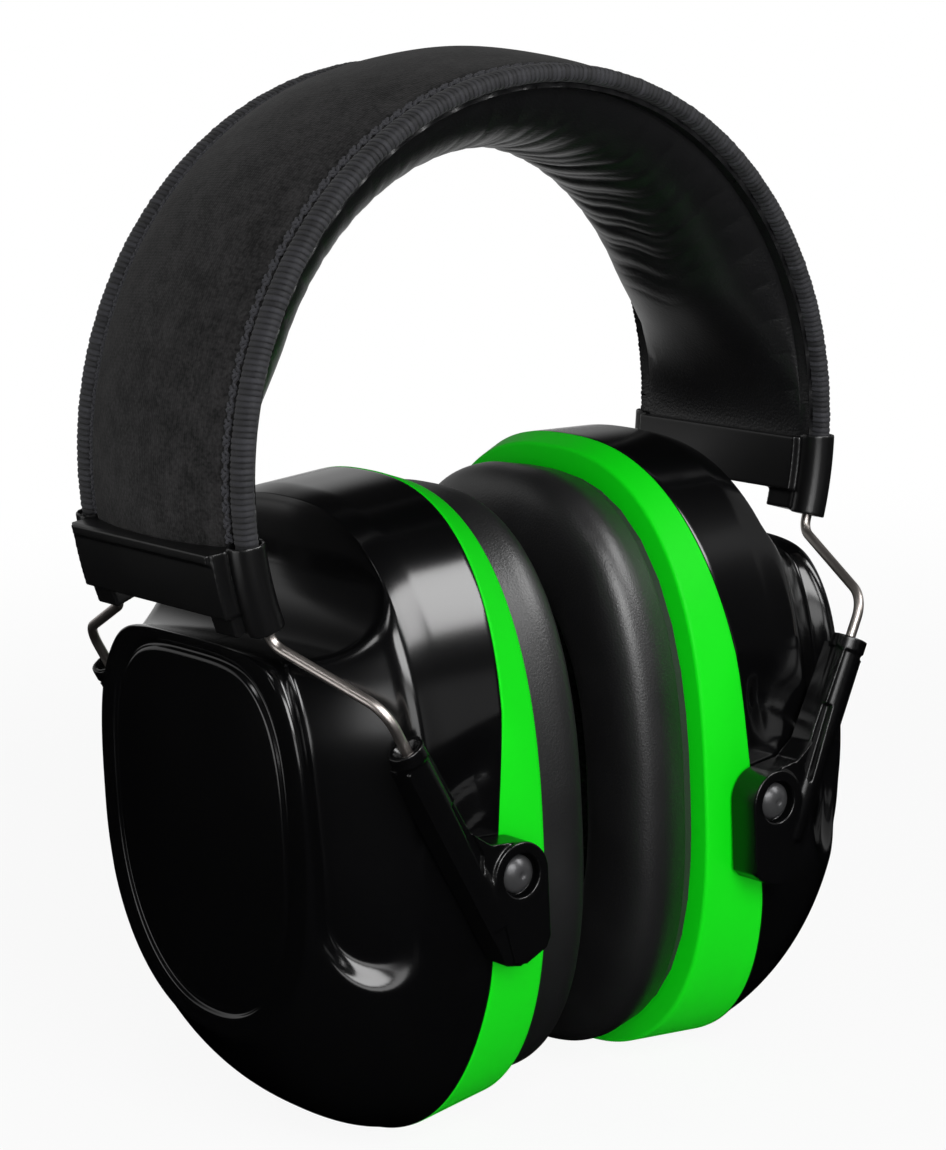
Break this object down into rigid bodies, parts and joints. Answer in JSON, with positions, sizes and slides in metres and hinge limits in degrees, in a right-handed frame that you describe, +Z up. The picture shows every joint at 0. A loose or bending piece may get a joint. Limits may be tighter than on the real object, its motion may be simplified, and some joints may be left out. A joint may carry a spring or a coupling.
{
  "type": "earmuff hearing protector",
  "caption": "Over-the-head earmuff: sprung wire headband with a padded cover, sliding pivot arms, moulded ear cups with coloured base rings and soft sealing cushions.",
  "frame": {"origin": "midway between the two ears, on the line of the pivot pins", "axes": "+Z up to the crown of the headband, +X from the left cup to the right cup as seen from the front, -Y is the front"},
  "size_m": [0.1388, 0.0938, 0.1837],
  "materials": {
    "wire": "polished spring wire",
    "cover_cloth": "matte charcoal knit",
    "leatherette": "soft leatherette",
    "pad_foam": "open-cell foam",
    "edge_thread": "ribbed overlock thread",
    "cap_plastic": "satin moulded",
    "arm_plastic": "gloss moulded",
    "shell_plastic": "gloss moulded",
    "ring_plastic": "satin moulded",
    "plate_plastic": "moulded",
    "cushion_skin": "fine-grained leatherette",
    "cup_foam": "open-cell foam",
    "pin_plastic": "gloss moulded"
  },
  "bodies": {
    "band": {"front_wire": "wire", "rear_wire": "wire", "band_cover": "cover_cloth", "band_lining": "leatherette", "band_foam": "pad_foam", "front_binding": "edge_thread", "rear_binding": "edge_thread"},
    "left_end": {"left_end_cap": "cap_plastic"},
    "left_arms": {"left_front_arm": "arm_plastic", "left_rear_arm": "arm_plastic"},
    "left_cup": {"left_shell": "shell_plastic", "left_ring": "ring_plastic", "left_cushion_plate": "plate_plastic", "left_cushion_foam": "pad_foam", "left_cushion_skin": "cushion_skin", "left_cup_foam": "cup_foam", "left_front_pin": "pin_plastic", "left_rear_pin": "pin_plastic"},
    "right_end": {"right_end_cap": "cap_plastic"},
    "right_arms": {"right_front_arm": "arm_plastic", "right_rear_arm": "arm_plastic"},
    "right_cup": {"right_shell": "shell_plastic", "right_ring": "ring_plastic", "right_cushion_plate": "plate_plastic", "right_cushion_foam": "pad_foam", "right_cushion_skin": "cushion_skin", "right_cup_foam": "cup_foam", "right_front_pin": "pin_plastic", "right_rear_pin": "pin_plastic"}
  },
  "joints": [
    {"name": "left_spread", "type": "hinge", "parent": "band", "child": "left_end", "pos_m": [-0.0404, 0, 0.1038], "axis": [0, 1, 0], "range_deg": [0, 30], "stiffness_Nm_per_rad": 2.9, "springref_deg": -2.86, "deforming": ["front_wire", "rear_wire", "band_cover", "band_lining", "band_foam", "front_binding", "rear_binding"]},
    {"name": "left_height", "type": "slide", "parent": "left_end", "child": "left_arms", "axis": [0.454, 0, -0.891], "range_m": [0, 0.01]},
    {"name": "left_tilt", "type": "hinge", "parent": "left_arms", "child": "left_cup", "pos_m": [-0.0289, 0, 0], "axis": [0, -1, 0], "range_deg": [-4.5, 9]},
    {"name": "right_spread", "type": "hinge", "parent": "band", "child": "right_end", "pos_m": [0.0404, 0, 0.1038], "axis": [0, -1, 0], "range_deg": [0, 30], "stiffness_Nm_per_rad": 2.9, "springref_deg": -2.86, "deforming": ["front_wire", "rear_wire", "band_cover", "band_lining", "band_foam", "front_binding", "rear_binding"]},
    {"name": "right_height", "type": "slide", "parent": "right_end", "child": "right_arms", "axis": [-0.454, 0, -0.891], "range_m": [0, 0.01]},
    {"name": "right_tilt", "type": "hinge", "parent": "right_arms", "child": "right_cup", "pos_m": [0.0289, 0, 0], "axis": [0, 1, 0], "range_deg": [-4.5, 9]}
  ]
}
